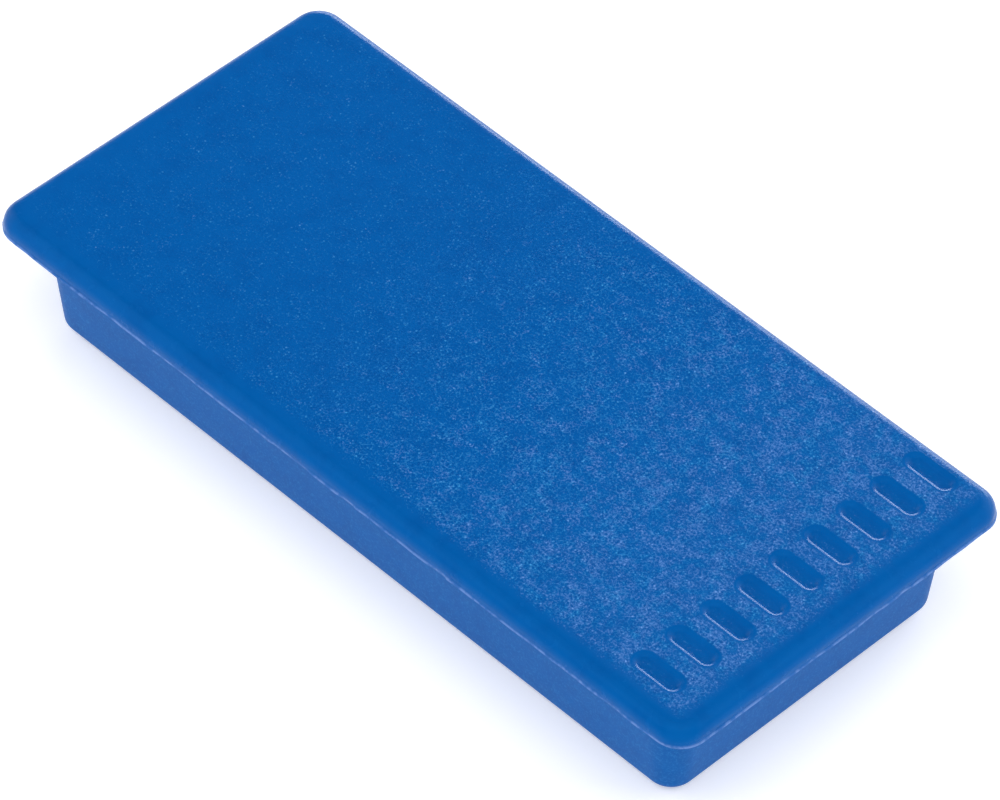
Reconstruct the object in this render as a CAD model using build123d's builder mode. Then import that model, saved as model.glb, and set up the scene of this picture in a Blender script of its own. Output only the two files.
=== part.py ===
from build123d import *

import os

# A rectangular board magnet: a moulded housing over a ferrite block with a steel back plate.
# Millimetres. Z is up, the board is the plane Z = 0, and X runs along the length.

# Housing, outside
LENGTH = 50.0  # over the parting flash
WIDTH = 23.5  # over the parting flash
HEIGHT = 8.0
FLASH_PROUD = 0.12  # how far the parting flash stands out from the plate
FLASH_THICKNESS = 0.1
PLATE_THICKNESS = 1.1  # at the overhang
PLATE_CORNER_RADIUS = 1.7
PLATE_EDGE_RADIUS = 0.85  # round along the plate's upper edge
OVERHANG_ENDS = 1.7  # from the flash to the body, just under the plate
OVERHANG_SIDES = 1.45
BODY_CORNER_RADIUS = 2.1
BODY_DRAFT = 6.5  # degrees a side, narrower towards the board
FOOT_RADIUS = 0.65  # round along the body's lower edge
FOOT_GAP = 0.15  # the rim stops short of the board, so that the magnet touches first

# Housing, inside
CAVITY_LENGTH = 42.6  # at the mouth
CAVITY_WIDTH = 16.6  # at the mouth
CAVITY_CORNER_RADIUS = 1.0
CAVITY_DRAFT = 1.0  # degrees a side, narrower towards the ceiling
CEILING = 1.4  # thickness of the plastic over the cavity
STANDOFF_WIDTH = 0.8  # ribs under the ceiling that the back plate rests on
STANDOFF_PITCH_X = 11.0
STANDOFF_PITCH_Y = 8.6
CRUSH_RIB_RADIUS = 0.6  # upright ribs that centre the magnet
CRUSH_RIB_CLEARANCE = 0.02
CRUSH_RIB_LEAD_IN = 1.0  # the ribs start this far above the rim
CRUSH_RIB_PITCH_X = 28.0
CRUSH_RIB_PITCH_Y = 9.0

# Row of grip slots sunk into the plate near the +X end
SLOT_COUNT = 9
SLOT_LENGTH = 3.2  # at the plate's surface
SLOT_WIDTH = 1.3  # at the plate's surface
SLOT_PITCH = 2.4
SLOT_DEPTH = 0.25
SLOT_WALL_DRAFT = 45  # degrees
SLOT_RIM_RADIUS = 0.3
SLOT_ROW_X = 20.9
SLOT_ROW_Y = 0.5

# Magnet, back plate and glue
MAGNET_LENGTH = 42.2
MAGNET_WIDTH = 16.2
MAGNET_HEIGHT = 5.0
MAGNET_CORNER_RADIUS = 0.6
MAGNET_CHAMFER = 0.25
BACK_PLATE_LENGTH = 42.0
BACK_PLATE_WIDTH = 16.0
BACK_PLATE_THICKNESS = 0.8
BACK_PLATE_CORNER_RADIUS = 0.8
BACK_PLATE_EDGE_RADIUS = 0.12
GLUE_BEAD_RADIUS = 2.0

plate_bottom = HEIGHT - PLATE_THICKNESS
plate_length = LENGTH - 2 * FLASH_PROUD
plate_width = WIDTH - 2 * FLASH_PROUD
ceiling_z = HEIGHT - CEILING
back_plate_top = MAGNET_HEIGHT + BACK_PLATE_THICKNESS
standoff_height = ceiling_z - back_plate_top
crush_rib_reach = 2 * (CRUSH_RIB_RADIUS + CRUSH_RIB_CLEARANCE)

# Housing
with BuildPart() as housing:
    # The parting flash is the widest outline, at the plate's lower edge.
    with BuildSketch(Plane.XY.offset(plate_bottom)):
        RectangleRounded(LENGTH, WIDTH, PLATE_CORNER_RADIUS)
    extrude(amount=FLASH_THICKNESS)

    # The plate, with its upper edge rounded all round.
    with BuildSketch(Plane.XY.offset(plate_bottom)):
        RectangleRounded(plate_length, plate_width, PLATE_CORNER_RADIUS - FLASH_PROUD)
    extrude(amount=PLATE_THICKNESS)
    fillet(housing.faces().sort_by(Axis.Z)[-1].edges(), PLATE_EDGE_RADIUS)

    # The drafted body under the plate, down to its rounded foot.
    with BuildSketch(Plane((0, 0, plate_bottom), z_dir=(0, 0, -1))):
        RectangleRounded(LENGTH - 2 * OVERHANG_ENDS, WIDTH - 2 * OVERHANG_SIDES, BODY_CORNER_RADIUS)
    extrude(amount=plate_bottom - FOOT_GAP, taper=BODY_DRAFT)
    fillet(housing.faces().sort_by(Axis.Z)[0].edges(), FOOT_RADIUS)

    # The pocket for the magnet, open towards the board.
    with BuildSketch(Plane.XY.offset(FOOT_GAP)):
        RectangleRounded(CAVITY_LENGTH, CAVITY_WIDTH, CAVITY_CORNER_RADIUS)
    extrude(amount=ceiling_z - FOOT_GAP, taper=CAVITY_DRAFT, mode=Mode.SUBTRACT)

    # A grid of low ribs under the ceiling.
    with BuildSketch(Plane.XY.offset(back_plate_top)):
        with GridLocations(0, STANDOFF_PITCH_Y, 1, 2):
            Rectangle(CAVITY_LENGTH, STANDOFF_WIDTH)
        with GridLocations(STANDOFF_PITCH_X, 0, 3, 1):
            Rectangle(STANDOFF_WIDTH, CAVITY_WIDTH)
    extrude(amount=standoff_height)

    # Upright half-round ribs, two on each wall of the pocket.
    with BuildSketch(Plane.XY.offset(FOOT_GAP + CRUSH_RIB_LEAD_IN)):
        with GridLocations(MAGNET_LENGTH + crush_rib_reach, CRUSH_RIB_PITCH_Y, 2, 2):
            Circle(CRUSH_RIB_RADIUS)
        with GridLocations(CRUSH_RIB_PITCH_X, MAGNET_WIDTH + crush_rib_reach, 2, 2):
            Circle(CRUSH_RIB_RADIUS)
    extrude(amount=ceiling_z - FOOT_GAP - CRUSH_RIB_LEAD_IN)

    # The row of grip slots, each with a slightly rounded rim.
    with BuildSketch(Plane.XY.offset(HEIGHT)):
        with Locations((SLOT_ROW_X, SLOT_ROW_Y)):
            with GridLocations(0, SLOT_PITCH, 1, SLOT_COUNT):
                SlotOverall(SLOT_LENGTH, SLOT_WIDTH)
    extrude(amount=-SLOT_DEPTH, taper=SLOT_WALL_DRAFT, mode=Mode.SUBTRACT)
    plate_face = housing.faces().sort_by(Axis.Z)[-1]
    fillet([edge for wire in plate_face.inner_wires() for edge in wire.edges()], SLOT_RIM_RADIUS)

housing.part.label = "housing"

# Magnet: a ground ferrite block. Its lower face is the contact face at Z = 0.
with BuildPart() as magnet:
    with BuildSketch(Plane.XY):
        RectangleRounded(MAGNET_LENGTH, MAGNET_WIDTH, MAGNET_CORNER_RADIUS)
    extrude(amount=MAGNET_HEIGHT)
    chamfer(magnet.faces().sort_by(Axis.Z)[0].edges(), MAGNET_CHAMFER)
    chamfer(magnet.faces().sort_by(Axis.Z)[-1].edges(), MAGNET_CHAMFER)

magnet.part.label = "magnet"

# Back plate: a blanked steel strip on top of the magnet.
with BuildPart() as back_plate:
    with BuildSketch(Plane.XY.offset(MAGNET_HEIGHT)):
        RectangleRounded(BACK_PLATE_LENGTH, BACK_PLATE_WIDTH, BACK_PLATE_CORNER_RADIUS)
    extrude(amount=BACK_PLATE_THICKNESS)
    fillet(back_plate.faces().sort_by(Axis.Z)[-1].edges(), BACK_PLATE_EDGE_RADIUS)

back_plate.part.label = "back_plate"

# Glue: four beads between the back plate and the ceiling, in the bays between the ribs.
with BuildPart() as glue_beads:
    with Locations(Plane.XY.offset(back_plate_top)):
        with GridLocations(STANDOFF_PITCH_X, 0, 4, 1):
            Cylinder(
                GLUE_BEAD_RADIUS, standoff_height, align=(Align.CENTER, Align.CENTER, Align.MIN)
            )

glue_beads.part.label = "glue_beads"

os.makedirs("parts", exist_ok=True)
export_step(housing.part, "parts/housing.step")
export_step(magnet.part, "parts/magnet.step")
export_step(back_plate.part, "parts/back_plate.step")
export_step(glue_beads.part, "parts/glue_beads.step")
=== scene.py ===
import math

import bpy
import numpy as np
from mathutils import Matrix, Vector
from mathutils.geometry import delaunay_2d_cdt


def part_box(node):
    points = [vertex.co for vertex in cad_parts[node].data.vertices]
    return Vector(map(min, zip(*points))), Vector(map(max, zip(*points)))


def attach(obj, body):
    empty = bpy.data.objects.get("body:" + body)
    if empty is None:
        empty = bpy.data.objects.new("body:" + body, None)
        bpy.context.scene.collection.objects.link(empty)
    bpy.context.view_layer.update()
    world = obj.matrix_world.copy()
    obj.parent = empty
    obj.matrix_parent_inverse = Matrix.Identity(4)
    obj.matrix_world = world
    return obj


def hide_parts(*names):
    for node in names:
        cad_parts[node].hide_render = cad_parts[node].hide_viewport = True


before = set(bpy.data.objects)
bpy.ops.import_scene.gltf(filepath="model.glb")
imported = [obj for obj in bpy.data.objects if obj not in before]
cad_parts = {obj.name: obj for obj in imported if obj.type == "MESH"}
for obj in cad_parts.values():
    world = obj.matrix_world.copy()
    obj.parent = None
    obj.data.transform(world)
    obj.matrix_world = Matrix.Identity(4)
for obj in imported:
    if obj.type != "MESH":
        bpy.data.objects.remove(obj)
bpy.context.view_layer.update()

# Blender's unit is the metre. Shapes are written in millimetres, and MM turns them to metres.
MM = 0.001
ROOT = "root"

# ---------------------------------------------------------------- sizes, in mm

housing_low, housing_high = (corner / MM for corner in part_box("housing"))
magnet_low, magnet_high = (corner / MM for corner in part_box("magnet"))
_, back_plate_high = (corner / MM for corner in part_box("back_plate"))
glue_low, glue_high = (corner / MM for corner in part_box("glue_beads"))

TOP = housing_high.z
FOOT = housing_low.z

# Housing, outside
FLASH_PROUD = 0.12
FLASH_THICKNESS = 0.1
PLATE_THICKNESS = 1.1
PLATE_CORNER_RADIUS = 1.7
PLATE_EDGE_RADIUS = 0.85
OVERHANG_ENDS = 1.7
OVERHANG_SIDES = 1.45
ROOT_FILLET = 0.12
BODY_CORNER_RADIUS = 2.1
BODY_DRAFT = math.radians(6.5)
FOOT_RADIUS = 0.65
GRAIN_FADE = 0.7  # width over which the plate's texture fades out towards its rounded edge

# Housing, inside
MOUTH_HALF_LENGTH = 21.3
MOUTH_HALF_WIDTH = 8.3
MOUTH_CORNER_RADIUS = 1.0
MOUTH_EDGE_RADIUS = 0.15
POCKET_DRAFT = math.radians(1.0)
CEILING = 1.4
STANDOFF_WIDTH = 0.8
STANDOFF_PITCH_X = 11.0
STANDOFF_PITCH_Y = 8.6
STANDOFF_END_GAP = 0.8  # how far the ribs' ends stay inside the pocket's mouth
CRUSH_RIB_RADIUS = 0.6
CRUSH_RIB_CLEARANCE = 0.02
CRUSH_RIB_LEAD_IN = 1.0
CRUSH_RIB_RAMP = 0.2  # height over which a rib comes out of the wall
CRUSH_RIB_X = 14.0  # from the middle, on the long walls
CRUSH_RIB_Y = 4.5  # from the middle, on the short walls

# Grip slots
SLOT_COUNT = 9
SLOT_PITCH = 2.4
SLOT_HALF_LENGTH = 1.6
SLOT_HALF_WIDTH = 0.65
SLOT_BORDER = 0.12  # width of the strip round the rim where the texture fades
# Across the slot's wall: how far in from the rim, and how far down. It starts gently, which gives
# the wall its thin bright line, then steepens and levels out to the floor.
SLOT_WALL = (
    (0.0, 0.0), (0.03, 0.003), (0.06, 0.010), (0.10, 0.0235), (0.15, 0.0425), (0.20, 0.0640),
    (0.25, 0.0920), (0.30, 0.1320), (0.35, 0.1760), (0.40, 0.2150), (0.45, 0.2400), (0.50, 0.2500),
)
SLOT_ROW_X = 20.9
SLOT_ROW_Y = 0.5

# Magnet and glue
MAGNET_CHAMFER = 0.25
MAGNET_CORNER_RADIUS = 0.6
GLUE_BEAD_COUNT = 4

# Paper floor
FLOOR_FLAT_RADIUS = 800.0
FLOOR_RIM_WIDTH = 450.0
FLOOR_RIM_HEIGHT = 260.0
FLOOR_GAP = 0.02  # between the floor and the contact face

# Border of the plate's flat face, where its rounded edge starts
face_half_length = housing_high.x - FLASH_PROUD - PLATE_EDGE_RADIUS
face_half_width = housing_high.y - FLASH_PROUD - PLATE_EDGE_RADIUS

plate_bottom = TOP - PLATE_THICKNESS
ceiling_z = TOP - CEILING
slot_reach = SLOT_HALF_LENGTH - SLOT_HALF_WIDTH
slot_centres = [
    (SLOT_ROW_X, SLOT_ROW_Y + SLOT_PITCH * (i - (SLOT_COUNT - 1) / 2)) for i in range(SLOT_COUNT)
]


# ---------------------------------------------------------------- mesh tools

def smooth(t):
    t = np.clip(t, 0, 1)
    return t * t * (3 - 2 * t)


def wander(count, bends, generator):
    """A smooth random line round a closed loop of count points, from -1 to 1, with that many bends."""
    values = generator.uniform(-1, 1, bends)
    at = np.arange(count) / count * bends
    left = np.floor(at).astype(int)
    t = smooth(at - left)
    return values[left % bends] * (1 - t) + values[(left + 1) % bends] * t


# What delaunay_2d_cdt should give back: the triangles inside the face but not in its holes
INSIDE_WITH_HOLES = 2


class Skin:
    """Rings of points and the faces between them, with a named number kept on each point."""

    def __init__(self, *channels):
        self.points = []
        self.faces = []
        self.channels = {name: [] for name in channels}

    def add(self, points, **values):
        start = len(self.points)
        self.points.extend(tuple(map(float, p)) for p in points)
        for name, kept in self.channels.items():
            kept.extend(np.broadcast_to(values.get(name, 0.0), (len(points),)).tolist())
        return list(range(start, len(self.points)))

    def loft(self, rings):
        for upper, lower in zip(rings, rings[1:]):
            for i, a in enumerate(upper):
                j = (i + 1) % len(upper)
                self.faces.append((a, lower[i], lower[j], upper[j]))

    def cap(self, outer, borders=(), inner=(), up=True):
        """Fills a loop with triangles through the inner points. Crossing a border, which is a loop
        or one edge of a loop, leads into a hole, or out of it again."""
        indices = list(outer)
        face = list(range(len(outer)))
        edges = []
        for loop in borders:
            first = len(indices)
            indices.extend(loop)
            edges += [(first + i, first + (i + 1) % len(loop)) for i in range(len(loop))]
        indices.extend(inner)
        flat = [Vector(self.points[i][:2]) for i in indices]
        _, _, triangles, origin, _, _ = delaunay_2d_cdt(flat, edges, [face], INSIDE_WITH_HOLES, 1e-6)
        for triangle in triangles:
            corners = [indices[origin[i][0]] for i in triangle]
            self.faces.append(corners if up else corners[::-1])

    def piece(self, name, sharp=40):
        """Makes the object. Edges that turn by more than sharp degrees aren't smoothed."""
        mesh = bpy.data.meshes.new(name)
        mesh.from_pydata([[c * MM for c in p] for p in self.points], [], self.faces)
        for channel, values in self.channels.items():
            layer = mesh.attributes.new(channel, "FLOAT", "POINT")
            layer.data.foreach_set("value", np.array(values, np.float32))
        mesh.shade_smooth()
        mesh.set_sharp_from_angle(angle=math.radians(sharp))
        obj = bpy.data.objects.new(name, mesh)
        bpy.context.scene.collection.objects.link(obj)
        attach(obj, ROOT)
        return obj


LONG_STEPS, SHORT_STEPS, CORNER_STEPS = 200, 92, 14
RING_POINTS = 2 * (LONG_STEPS + SHORT_STEPS) + 4 * CORNER_STEPS


def outline(half_x, half_y, radius, z, outward=0.0):
    """A rounded rectangle, anticlockwise from above. Every one has its points in the same order,
    so any two join. outward pushes each point along its own normal."""
    points, normals = [], []
    for side in range(4):
        turn = math.pi / 2 * side
        steps = (SHORT_STEPS, LONG_STEPS)[side % 2]
        ends = []
        for corner in (side - 1, side):
            sign_x, sign_y = ((1, 1), (-1, 1), (-1, -1), (1, -1))[corner % 4]
            ends.append(np.array([sign_x * (half_x - radius), sign_y * (half_y - radius)]))
        normal = np.array([math.cos(turn), math.sin(turn)])
        for t in np.arange(steps) / steps:
            points.append(ends[0] + (ends[1] - ends[0]) * t + normal * radius)
            normals.append(normal)
        for angle in turn + math.pi / 2 * np.arange(CORNER_STEPS) / CORNER_STEPS:
            normal = np.array([math.cos(angle), math.sin(angle)])
            points.append(ends[1] + normal * radius)
            normals.append(normal)
    flat = np.array(points) + np.array(normals) * np.reshape(outward, (-1, 1))
    return np.column_stack([flat, np.broadcast_to(z, (RING_POINTS,))])


# ---------------------------------------------------------------- housing

def slot_distance(x, y):
    """How far a point is outside the nearest slot's rim. Negative inside it."""
    return min(
        math.hypot(max(abs(x - cx) - slot_reach, 0), y - cy) - SLOT_HALF_WIDTH
        for cx, cy in slot_centres
    )


def slot_outline(centre, inset):
    """Clockwise from above, because the slot's rings go down into the plate."""
    radius = SLOT_HALF_WIDTH - inset
    points = []
    for end, first in ((1, 90), (-1, -90)):
        points += [
            (centre[0] + end * slot_reach + radius * math.cos(a), centre[1] + radius * math.sin(a))
            for a in np.radians(np.linspace(first, first - 180, 17))
        ]
        points += [
            (centre[0] + end * slot_reach * (1 - 2 * t), centre[1] - end * radius)
            for t in np.linspace(0, 1, 11)[1:-1]
        ]
    return points


def add_slot(skin, centre):
    """A slot's sloped wall and flat floor. Returns the loop round it where the texture is whole."""
    # The last slot's border would cross the face's own border, so it stops just short of that.
    most_y = face_half_width - 0.01
    around = [(x, min(y, most_y), TOP) for x, y in slot_outline(centre, -SLOT_BORDER)]
    rings = [skin.add(around, grain=1.0)]
    for inset, drop in SLOT_WALL:
        # The wall is smooth, and the floor has some of the texture.
        grain = 0.45 * smooth((inset - 0.35) / 0.15)
        points = [(x, y, TOP - drop) for x, y in slot_outline(centre, inset)]
        rings.append(skin.add(points, grain=grain))
    skin.loft(rings)
    skin.cap(rings[-1])
    return rings[0]


def plate_rings(skin):
    """From the border of the flat face, round the edge and over the parting flash to its underside."""
    generator = np.random.default_rng(7)
    rings = []

    def ring(inset, z, outward=0.0, **values):
        size = (housing_high.x - inset, housing_high.y - inset, PLATE_CORNER_RADIUS - inset)
        rings.append(skin.add(outline(*size, z, outward), **values))

    # Along the +Y edge the texture carries on and fades out by 55 degrees round.
    edge_y = outline(housing_high.x, housing_high.y, PLATE_CORNER_RADIUS, 0)[:, 1]
    plus_y = smooth(edge_y - housing_high.y + 1)
    for angle in np.linspace(0, 90, 13):
        turn = math.radians(angle)
        inset = FLASH_PROUD + PLATE_EDGE_RADIUS * (1 - math.sin(turn))
        grain = 0.8 * plus_y * smooth((55 - angle) / 30)
        ring(inset, TOP - PLATE_EDGE_RADIUS * (1 - math.cos(turn)), grain=grain)

    # The flash is ragged, with small nicks where it broke off.
    ragged = 0.62 + 0.24 * wander(RING_POINTS, 70, generator)
    ragged += 0.14 * wander(RING_POINTS, 230, generator)
    nicks = smooth(wander(RING_POINTS, 90, generator) * 4 - 1.8)
    proud = FLASH_PROUD * np.clip(ragged * (1 - 0.9 * nicks), 0.03, 1)
    wave = 0.04 * wander(RING_POINTS, 60, generator) + 0.02 * wander(RING_POINTS, 160, generator)
    flash_top = plate_bottom + FLASH_THICKNESS
    ring(FLASH_PROUD, flash_top + 0.05 + wave, flash=0.15)
    ring(FLASH_PROUD, flash_top + wave, 0.5 * proud, flash=0.9)
    ring(FLASH_PROUD, flash_top - 0.03 + wave, 0.9 * proud, flash=1.0)
    ring(FLASH_PROUD, plate_bottom + 0.035 + 0.4 * wave, proud, flash=1.0)
    ring(FLASH_PROUD, plate_bottom, 0.5 * proud, flash=0.6)
    return rings


def body_rings(skin):
    """From the overhang's underside down the drafted body to the border of its rim."""
    rings = []

    def ring(inset, z):
        half_x = housing_high.x - OVERHANG_ENDS - inset
        half_y = housing_high.y - OVERHANG_SIDES - inset
        rings.append(skin.add(outline(half_x, half_y, BODY_CORNER_RADIUS - inset, z)))

    for angle in np.radians(np.linspace(0, 90, 5)):
        ring(-ROOT_FILLET * (1 - math.sin(angle)), plate_bottom - ROOT_FILLET * (1 - math.cos(angle)))
    round_start = FOOT + FOOT_RADIUS * (1 - math.sin(BODY_DRAFT))
    for t in np.linspace(0, 1, 5)[1:-1]:
        z = plate_bottom - ROOT_FILLET + (round_start - plate_bottom + ROOT_FILLET) * t
        ring((plate_bottom - z) * math.tan(BODY_DRAFT), z)
    inset = (plate_bottom - round_start) * math.tan(BODY_DRAFT)
    for angle in np.linspace(BODY_DRAFT, math.pi / 2, 11):
        along = FOOT_RADIUS * (math.cos(BODY_DRAFT) - math.cos(angle))
        ring(inset + along, FOOT + FOOT_RADIUS * (1 - math.sin(angle)))
    return rings


def with_crush_ribs(points, half_x, half_y):
    """Pushes the pocket wall's points inwards where an upright half-round rib stands."""
    pushed = points.copy()
    for axis, half, reach, at in (
        (0, half_x, magnet_high.x, CRUSH_RIB_Y),
        (1, half_y, magnet_high.y, CRUSH_RIB_X),
    ):
        across = np.abs(np.abs(points[:, 1 - axis]) - at)
        on_rib = (np.abs(np.abs(points[:, axis]) - half) < 1e-6) & (across < CRUSH_RIB_RADIUS)
        centre = reach + CRUSH_RIB_CLEARANCE + CRUSH_RIB_RADIUS
        chord = np.sqrt(np.clip(CRUSH_RIB_RADIUS**2 - across**2, 0, None))
        wall = np.sign(points[:, axis]) * np.minimum(half, centre - chord)
        pushed[on_rib, axis] = wall[on_rib]
    return pushed


def pocket_rings(skin):
    """From the rim's inner border up the pocket's drafted wall to its ceiling."""
    rings = []
    for angle in np.radians(np.linspace(0, 90, 4)):
        grow = MOUTH_EDGE_RADIUS * (1 - math.sin(angle))
        z = FOOT + MOUTH_EDGE_RADIUS * (1 - math.cos(angle))
        size = (MOUTH_HALF_LENGTH + grow, MOUTH_HALF_WIDTH + grow, MOUTH_CORNER_RADIUS + grow)
        rings.append(skin.add(outline(*size, z)))
    lead_in = FOOT + CRUSH_RIB_LEAD_IN
    for z, ribbed in ((lead_in, False), (lead_in + CRUSH_RIB_RAMP, True), (ceiling_z, True)):
        inset = (z - FOOT) * math.tan(POCKET_DRAFT)
        half_x, half_y = MOUTH_HALF_LENGTH - inset, MOUTH_HALF_WIDTH - inset
        points = outline(half_x, half_y, MOUTH_CORNER_RADIUS - inset, z)
        rings.append(skin.add(with_crush_ribs(points, half_x, half_y) if ribbed else points))
    return rings


def add_ceiling(skin, wall):
    """The pocket's ceiling, with its grid of ribs for the back plate, just clear of the walls."""

    def grid_lines(reach, centres):
        half = STANDOFF_WIDTH / 2
        return [-reach, *(at + side for at in centres for side in (-half, half)), reach]

    grid_x = grid_lines(
        MOUTH_HALF_LENGTH - STANDOFF_END_GAP, (-STANDOFF_PITCH_X, 0, STANDOFF_PITCH_X)
    )
    grid_y = grid_lines(
        MOUTH_HALF_WIDTH - STANDOFF_END_GAP, (-STANDOFF_PITCH_Y / 2, STANDOFF_PITCH_Y / 2)
    )

    # A cell between grid lines is rib where either of its numbers is odd.
    cells = {
        (i, j)
        for i in range(len(grid_x) - 1)
        for j in range(len(grid_y) - 1)
        if i % 2 or j % 2
    }
    upper, lower = {}, {}
    for i, j in sorted(cells):
        for corner in ((i, j), (i + 1, j), (i + 1, j + 1), (i, j + 1)):
            if corner not in upper:
                x, y = grid_x[corner[0]], grid_y[corner[1]]
                upper[corner] = skin.add([(x, y, ceiling_z)])[0]
                lower[corner] = skin.add([(x, y, back_plate_high.z)])[0]
    borders = []
    for i, j in sorted(cells):
        corners = [(i, j), (i + 1, j), (i + 1, j + 1), (i, j + 1)]
        neighbours = [(i, j - 1), (i + 1, j), (i, j + 1), (i - 1, j)]
        skin.faces.append([lower[c] for c in reversed(corners)])
        for a, b, beside in zip(corners, corners[1:] + corners[:1], neighbours):
            if beside not in cells:
                skin.faces.append((lower[a], lower[b], upper[b], upper[a]))
                borders.append((upper[a], upper[b]))
    skin.cap(wall, borders, up=False)


def make_housing():
    skin = Skin("grain", "flash")
    rings = plate_rings(skin) + body_rings(skin) + pocket_rings(skin)
    skin.loft(rings)
    add_ceiling(skin, rings[-1])
    rims = [add_slot(skin, centre) for centre in slot_centres]

    # The face's inner points keep clear of the slots. The texture hardly fades along +Y, so the border
    # on that side counts as further away.
    inner = []
    for x in np.linspace(-face_half_length, face_half_length, 121)[1:-1]:
        for y in np.linspace(-face_half_width, face_half_width, 55)[1:-1]:
            if slot_distance(x, y) > 0.2:
                from_edge = min(
                    face_half_length - abs(x), face_half_width + y, face_half_width - y + 0.6
                )
                inner += skin.add([(x, y, TOP)], grain=smooth(from_edge / GRAIN_FADE))
    skin.cap(rings[0], rims, inner)

    piece = skin.piece("moulded_housing")
    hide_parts("housing")
    return piece


# ---------------------------------------------------------------- magnet and glue

def make_magnet():
    """A ground ferrite block. Its chamfers are slightly uneven, and chipped in a few places."""
    generator = np.random.default_rng(11)
    skin = Skin("chip")

    def edge():
        uneven = 0.04 * wander(RING_POINTS, 60, generator)
        chips = 0.3 * smooth(wander(RING_POINTS, 90, generator) * 5 - 3.6)
        return np.clip(uneven, -0.04, None) + chips, smooth(chips / 0.1)

    def ring(inset, z, outward=0.0, chip=0.0):
        size = (magnet_high.x - inset, magnet_high.y - inset, MAGNET_CORNER_RADIUS)
        return skin.add(outline(*size, z, outward), chip=chip)

    worn, chipped = edge()
    upper = [
        ring(MAGNET_CHAMFER, magnet_high.z, -worn * 0.5, chipped),
        ring(0.0, magnet_high.z - MAGNET_CHAMFER - worn, chip=chipped),
    ]
    worn, chipped = edge()
    part_way = MAGNET_CHAMFER * 0.45
    lower = [
        ring(0.0, magnet_low.z + MAGNET_CHAMFER + worn, chip=chipped),
        ring(part_way, magnet_low.z + part_way, -0.6 * worn, chipped),
        ring(MAGNET_CHAMFER, magnet_low.z, -worn, chipped),
    ]
    skin.loft(upper + lower)
    skin.cap(upper[0])
    skin.cap(lower[-1], up=False)
    piece = skin.piece("ferrite_block", sharp=25)
    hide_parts("magnet")
    return piece


def make_glue():
    """Four beads of hot-melt glue, squashed between the back plate and the ceiling."""
    generator = np.random.default_rng(5)
    skin = Skin()
    steps, levels = 48, 9
    radius = glue_high.y
    for i in range(GLUE_BEAD_COUNT):
        centre_x = STANDOFF_PITCH_X * (i - (GLUE_BEAD_COUNT - 1) / 2)
        lobes = 0.93 + 0.05 * wander(steps, 7, generator)
        angles = np.arange(steps) / steps * 2 * math.pi
        rings = []
        for t in np.linspace(0, 1, levels):
            reach = radius * lobes * (0.9 + 0.1 * math.sin(math.pi * t))
            z = glue_high.z + (glue_low.z - glue_high.z) * t
            rings.append(skin.add([
                (centre_x + r * math.cos(a), r * math.sin(a), z)
                for r, a in zip(reach, angles)
            ]))
        skin.loft(rings)
        skin.cap(rings[0])
        skin.cap(rings[-1], up=False)
    piece = skin.piece("hot_melt_beads")
    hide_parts("glue_beads")
    return piece


# ---------------------------------------------------------------- materials

class Shader:
    """One procedural material on a Principled shader, built in object coordinates in millimetres."""

    def __init__(self, name, **constants):
        self.material = bpy.data.materials.new(name)
        self.material.use_nodes = True
        self.tree = self.material.node_tree
        self.surface = self.tree.nodes["Principled BSDF"]
        for socket, value in constants.items():
            self.surface.inputs[socket.replace("_", " ")].default_value = value
        place = self.node("TexCoord").outputs["Object"]
        self.place = self.node("VectorMath", {0: place, "Scale": 1 / MM}, operation="SCALE").outputs[0]

    def node(self, kind, inputs=(), **settings):
        node = self.tree.nodes.new("ShaderNode" + kind)
        for name, value in settings.items():
            setattr(node, name, value)
        for socket, value in dict(inputs).items():
            self.put(node.inputs[socket], value)
        return node

    def put(self, socket, value):
        if isinstance(value, bpy.types.NodeSocket):
            self.tree.links.new(value, socket)
        else:
            socket.default_value = value

    def kept(self, channel):
        return self.node("Attribute", attribute_name=channel).outputs["Fac"]

    def noise(self, scale, detail=2.0, roughness=0.5, stretch=(1, 1, 1)):
        place = self.place
        if stretch != (1, 1, 1):
            place = self.node("VectorMath", {0: place, 1: stretch}, operation="MULTIPLY").outputs[0]
        return self.node("TexNoise", {
            "Vector": place, "Scale": scale, "Detail": detail, "Roughness": roughness,
        }).outputs["Fac"]

    def step(self, value, low, high, to_low=0.0, to_high=1.0):
        """Goes smoothly from to_low, where the value is low, to to_high, where it is high."""
        return self.node("MapRange", {
            "Value": value, "From Min": low, "From Max": high, "To Min": to_low, "To Max": to_high,
        }, interpolation_type="SMOOTHSTEP").outputs[0]

    def calc(self, operation, a, b):
        return self.node("Math", {0: a, 1: b}, operation=operation).outputs[0]

    # The Mix node's sockets go by number, because several of them share a name.
    def blend(self, share, a, b):
        return self.node("Mix", {0: share, 6: a, 7: b}, data_type="RGBA").outputs[2]

    def level(self, share, a, b):
        return self.node("Mix", {0: share, 2: a, 3: b}).outputs[0]

    def bump(self, height, depth, base=None):
        """depth is the relief in mm where the height goes from 0 to 1."""
        inputs = {"Height": height, "Distance": depth * MM, "Strength": 1.0}
        if base is not None:
            inputs["Normal"] = base
        return self.node("Bump", inputs).outputs[0]

    def finish(self, **links):
        for socket, value in links.items():
            self.put(self.surface.inputs[socket.replace("_", " ")], value)
        return self.material


BLUE = (0.0004, 0.094, 0.356, 1)
# The lighter blue and the lavender below are the colours of the painted glints on the texture; the
# lighter blue also mottles the body's walls.
GLINT_AND_MOTTLE_BLUE = (0.05, 0.33, 0.69, 1)
GLINT_LAVENDER = (0.14, 0.3, 0.68, 1)
# The deep blue is the painted shade in the texture's pits, and also the tone of the plastic's faint
# streaks
PIT_SHADE_AND_STREAK_BLUE = (0.0003, 0.05, 0.24, 1)
# The flash blue is partly the flash's stress-whitened plastic and partly a painted highlight along it
FLASH_WHITENING_AND_HIGHLIGHT_BLUE = (0.12, 0.23, 0.54, 1)

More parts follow.
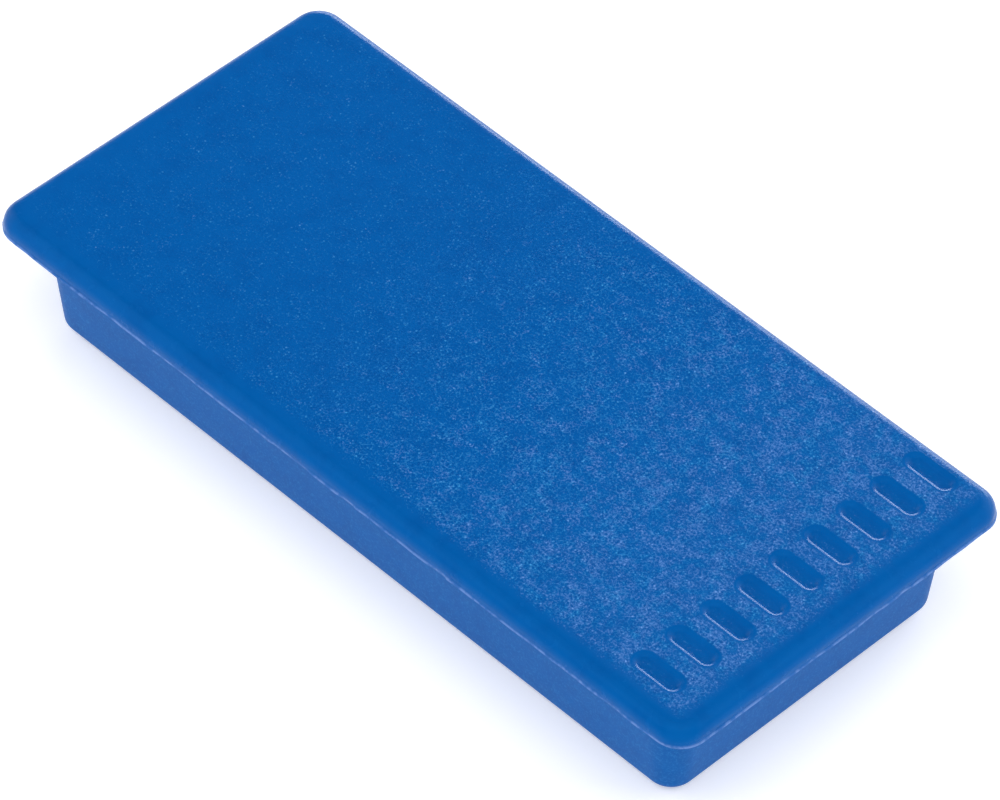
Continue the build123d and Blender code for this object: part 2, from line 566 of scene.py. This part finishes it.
FERRITE_DARK = (0.028, 0.028, 0.031, 1)
FERRITE_PALE = (0.044, 0.042, 0.042, 1)
FERRITE_GROUND_LINE = (0.075, 0.075, 0.08, 1)
FERRITE_PORE = (0.02, 0.018, 0.018, 1)
FERRITE_CHIP = (0.07, 0.068, 0.07, 1)

ZINC = (0.5, 0.51, 0.52, 1)
ZINC_BLOOM = (0.6, 0.605, 0.61, 1)
ZINC_ROLLING_LINE = (0.42, 0.43, 0.44, 1)

AMBER = (0.56, 0.49, 0.34, 1)
CLOUDY_AMBER = (0.66, 0.61, 0.48, 1)

PAPER = (0.9, 0.9, 0.9, 1)
PAPER_FIBRE = (0.93, 0.93, 0.93, 1)


def sparkle(s, along, grain, mottle):
    """The spark-eroded texture: how thick it lies, the painted glints on its crystal grains, a painted
    sheen, and the painted shade in its pits.
    """
    # It lies in clouds, and thicker towards the ends, above all towards the one with the slots; the
    # rise towards the slots is partly real texture and partly painted sheen.
    clouds = s.step(s.noise(0.9, detail=4.0, roughness=0.65), 0.34, 0.64, 0.65, 1.0)
    towards_slots = s.step(along, -32.0, 16.0, 0.1, 1.0)
    other_end = s.step(along, -8.0, -22.0, 0.0, 0.22)
    thick = s.calc("ADD", towards_slots, other_end)
    density = s.calc("MULTIPLY", s.calc("MULTIPLY", thick, clouds), grain)

    # Where it is thick, more of the crystal grains get a painted glint, and more of the pits between
    # them get painted shade.
    least = s.level(density, 0.90, 0.54)
    crystal_glints = s.step(s.calc("SUBTRACT", mottle, least), 0.0, 0.42, 0.0, 0.55)
    # Painted shade in the pits between the crystal grains
    pit_shade = s.calc("MULTIPLY", s.step(mottle, 0.66, 0.46), s.step(density, 0.1, 0.8, 0.0, 0.6))

    # Single painted glints on crystal grains, drawn by lot
    cells = s.node("TexVoronoi", {"Vector": s.place, "Scale": 6.0})
    lot = s.node("SeparateColor", {0: cells.outputs["Color"]}).outputs[0]
    chosen = s.step(s.calc("SUBTRACT", lot, s.level(density, 0.97, 0.6)), 0.0, 0.3, 0.0, 0.6)
    glint_spots = s.calc("MULTIPLY", s.step(cells.outputs["Distance"], 0.45, 0.12), chosen)

    # A painted sheen, lighter towards the slot end, where the light is reflected more
    painted_sheen = s.calc("MULTIPLY", s.step(along, 0.0, 27.0, 0.0, 0.05), grain)
    # The painted glints on the crystal grains and the painted sheen together
    light = s.calc("ADD", s.calc("ADD", crystal_glints, s.calc("MULTIPLY", glint_spots, grain)), painted_sheen)
    return density, light, pit_shade


def blue_plastic():
    """Polystyrene. Spark-eroded on the plate's face, tool-polished on its edge and in the slots,
    and only draw-polished on the body's walls."""
    s = Shader("blue_plastic", IOR=1.5, Specular_IOR_Level=0.15, Specular_Tint=(0.1, 0.5, 1.0, 1))
    grain = s.kept("grain")
    flash = s.kept("flash")
    place = s.node("SeparateXYZ", {0: s.place})
    along, height = place.outputs[0], place.outputs[2]
    body = s.step(height, plate_bottom + 0.05, plate_bottom - 0.05)

    # Fine and coarse grain together, with a net of threads, along which the painted glints come out
    # lighter
    fine = s.noise(7.5, detail=2.0, roughness=0.7)
    net = s.node("TexVoronoi", {"Vector": s.place, "Scale": 4.0}, feature="DISTANCE_TO_EDGE")
    threads = s.step(net.outputs["Distance"], 0.14, 0.0, 0.0, 0.14)
    mottle = s.calc("ADD", fine, s.calc("MULTIPLY", s.noise(2.6, detail=2.0), 0.25))
    mottle = s.calc("ADD", mottle, threads)
    density, light, pit_shade = sparkle(s, along, grain, mottle)

    # The painted shade in the pits, faint streaks in the plastic, and the painted glints on the crystal
    # grains, which are redder in patches and towards the slots; the rise towards the slots is a painted
    # reflection
    colour = s.blend(pit_shade, BLUE, PIT_SHADE_AND_STREAK_BLUE)
    streaks = s.step(s.noise(0.7, detail=4.0, roughness=0.6), 0.4, 0.75, 0.0, 0.25)
    colour = s.blend(streaks, colour, PIT_SHADE_AND_STREAK_BLUE)
    # Random redder patches, plus a painted reflection that grows redder towards the slots
    redder = s.calc("ADD", s.noise(1.8, detail=2.0), s.step(along, -6.0, 20.0, -0.16, 0.05))
    tint = s.blend(s.step(redder, 0.35, 0.65), GLINT_AND_MOTTLE_BLUE, GLINT_LAVENDER)
    colour = s.blend(light, colour, tint)

    # A faint mottling on the body's walls, and the flash, partly its stress-whitened plastic and partly
    # a painted highlight along its edge
    walls = s.calc("MULTIPLY", s.step(mottle, 0.62, 0.95, 0.0, 0.2), body)
    colour = s.blend(walls, colour, GLINT_AND_MOTTLE_BLUE)
    bruised_and_highlit = s.step(s.noise(2.2, detail=3.0, roughness=0.6), 0.36, 0.6, 0.3, 1.0)
    colour = s.blend(s.calc("MULTIPLY", flash, bruised_and_highlit), colour, FLASH_WHITENING_AND_HIGHLIGHT_BLUE)

    polished = s.step(s.noise(1.3, detail=3.0), 0.3, 0.7, 0.22, 0.28)
    roughness = s.level(flash, s.level(body, s.level(grain, polished, 0.26), 0.5), 0.55)

    # Mould relief: slight waviness everywhere, erosion pits where the sparkle is
    wavy = s.bump(s.noise(0.35, detail=2.0), 0.02)
    pits = s.bump(s.calc("MULTIPLY", fine, density), 0.03, wavy)
    return s.finish(Base_Color=colour, Roughness=roughness, Normal=pits)


def ferrite():
    """Sintered strontium ferrite: ground pole faces, rough fired sides, grainy chips."""
    s = Shader("ferrite", IOR=2.2)
    chip = s.kept("chip")
    up = s.node("SeparateXYZ", {0: s.node("NewGeometry").outputs["Normal"]}).outputs[2]
    ground = s.step(s.calc("MULTIPLY", up, up), 0.8, 0.97)
    lines = s.noise(9.0, detail=3.0, roughness=0.7, stretch=(0.02, 1.0, 1.0))
    body = s.noise(7.0, detail=5.0, roughness=0.7)
    stain = s.step(s.noise(0.25, detail=4.0), 0.35, 0.7)
    colour = s.blend(stain, FERRITE_DARK, FERRITE_PALE)
    ground_lines = s.calc("MULTIPLY", s.step(lines, 0.55, 0.75), ground)
    colour = s.blend(ground_lines, colour, FERRITE_GROUND_LINE)
    colour = s.blend(s.step(body, 0.62, 0.75, 0.0, 0.5), colour, FERRITE_PORE)
    colour = s.blend(s.calc("MULTIPLY", chip, 0.6), colour, FERRITE_CHIP)
    roughness = s.level(ground, 0.62, s.step(lines, 0.3, 0.7, 0.36, 0.5))
    scored = s.bump(s.calc("MULTIPLY", lines, ground), 0.006)
    pitted = s.bump(body, 0.01, scored)
    return s.finish(Base_Color=colour, Roughness=roughness, Normal=pitted)


def plated_steel():
    """Cold-rolled strip with thin zinc plating, and fine rolling lines along it."""
    s = Shader("plated_steel", Metallic=1.0)
    lines = s.noise(14.0, detail=3.0, roughness=0.7, stretch=(0.02, 1.0, 1.0))
    bloom = s.step(s.noise(0.5, detail=4.0), 0.3, 0.7)
    colour = s.blend(bloom, ZINC, ZINC_BLOOM)
    colour = s.blend(s.step(lines, 0.6, 0.75, 0.0, 0.4), colour, ZINC_ROLLING_LINE)
    return s.finish(
        Base_Color=colour,
        Roughness=s.step(lines, 0.3, 0.7, 0.26, 0.42),
        Normal=s.bump(lines, 0.003),
    )


def glue():
    """Amber hot-melt glue, cloudy inside, with a soft uneven skin."""
    s = Shader("glue", IOR=1.48, Subsurface_Weight=0.25, Subsurface_Scale=0.001)
    cloud = s.noise(0.9, detail=4.0)
    colour = s.blend(s.step(cloud, 0.3, 0.7), AMBER, CLOUDY_AMBER)
    return s.finish(
        Base_Color=colour,
        Roughness=s.step(cloud, 0.3, 0.7, 0.32, 0.48),
        Normal=s.bump(s.noise(1.6, detail=2.0), 0.04),
    )


def backdrop_white():
    """Matt white paper, very slightly mottled."""
    s = Shader("backdrop_white", Roughness=0.9, Specular_IOR_Level=0.1, Emission_Strength=0.3)
    fibre = s.noise(0.02, detail=3.0)
    return s.finish(Base_Color=s.blend(fibre, PAPER, PAPER_FIBRE))


# ---------------------------------------------------------------- stage, lights and camera

def make_backdrop():
    """A round paper floor, flat in the middle and rising all round like the inside of a wide dish."""
    profile = [(r, 0.0) for r in (30.0, 120.0, 400.0, FLOOR_FLAT_RADIUS)]
    profile += [
        (FLOOR_FLAT_RADIUS + FLOOR_RIM_WIDTH * t, FLOOR_RIM_HEIGHT * t * t)
        for t in np.linspace(0, 1, 16)[1:]
    ]
    angles = np.radians(np.arange(0, 360, 5))
    around = len(angles)
    points = [
        (r * math.cos(a) * MM, r * math.sin(a) * MM, (z - FLOOR_GAP) * MM)
        for r, z in profile
        for a in angles
    ]
    faces = [list(range(around))]
    for ring in range(len(profile) - 1):
        for i in range(around):
            a, b = ring * around + i, ring * around + (i + 1) % around
            faces.append((a, a + around, b + around, b))
    mesh = bpy.data.meshes.new("paper_floor")
    mesh.from_pydata(points, [], faces)
    mesh.shade_smooth()
    mesh.materials.append(backdrop_white())
    floor = bpy.data.objects.new("paper_floor", mesh)
    bpy.context.scene.collection.objects.link(floor)


def softbox(name, place, size, radiance):
    """A rectangular soft light facing the object, in mm. radiance is how bright its face is."""
    width, height = size
    data = bpy.data.lights.new(name, "AREA")
    data.shape = "RECTANGLE"
    data.size, data.size_y = width * MM, height * MM
    # A one-sided area light of radiance L and area A gives out pi L A watts.
    data.energy = math.pi * radiance * width * height * MM * MM
    light = bpy.data.objects.new(name, data)
    light.location = Vector(place) * MM
    light.rotation_euler = (-Vector(place)).to_track_quat("-Z", "Y").to_euler()
    light.visible_camera = False
    bpy.context.scene.collection.objects.link(light)


def make_lights():
    world = bpy.data.worlds.new("studio")
    bpy.context.scene.world = world
    world.use_nodes = True
    background = world.node_tree.nodes["Background"]
    background.inputs["Color"].default_value = (1, 1, 1, 1)
    background.inputs["Strength"].default_value = 0.12
    softbox("front", (400, -400, 570), (1300, 1300), 1.0)
    softbox("overhead", (60, -60, 700), (700, 700), 1.1)
    softbox("left", (-600, -300, 400), (900, 700), 1.5)
    softbox("right", (300, 600, 400), (900, 700), 1.5)
    # A low strip behind draws the thin bright lines along the far edge and the slots' walls.
    softbox("back", (-170, 320, 68), (300, 80), 9.0)


# The view, with its lengths in mm
AZIMUTH = math.radians(44.579)
ELEVATION = math.radians(46.572)
ROLL = math.radians(1.464)
DISTANCE = 379.84
AIM = (0.161, 0.532, 4.224)
LENS = 269.33
SENSOR_WIDTH = 36.0


def make_camera():
    data = bpy.data.cameras.new("camera")
    data.lens = LENS
    data.sensor_width = SENSOR_WIDTH
    data.clip_start, data.clip_end = 0.01, 10.0  # metres
    camera = bpy.data.objects.new("camera", data)
    bpy.context.scene.collection.objects.link(camera)
    turn = Matrix.Rotation(AZIMUTH, 4, "Z") @ Matrix.Rotation(math.pi / 2 - ELEVATION, 4, "X")
    back = turn.to_3x3() @ Vector((0, 0, 1))
    place = (Vector(AIM) + back * DISTANCE) * MM
    camera.matrix_world = Matrix.Translation(place) @ turn @ Matrix.Rotation(ROLL, 4, "Z")
    bpy.context.scene.camera = camera


make_housing().data.materials.append(blue_plastic())
make_magnet().data.materials.append(ferrite())
make_glue().data.materials.append(glue())
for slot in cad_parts["back_plate"].material_slots:
    slot.material = plated_steel()

make_backdrop()
make_lights()
make_camera()
bpy.context.scene.view_settings.view_transform = "Standard"
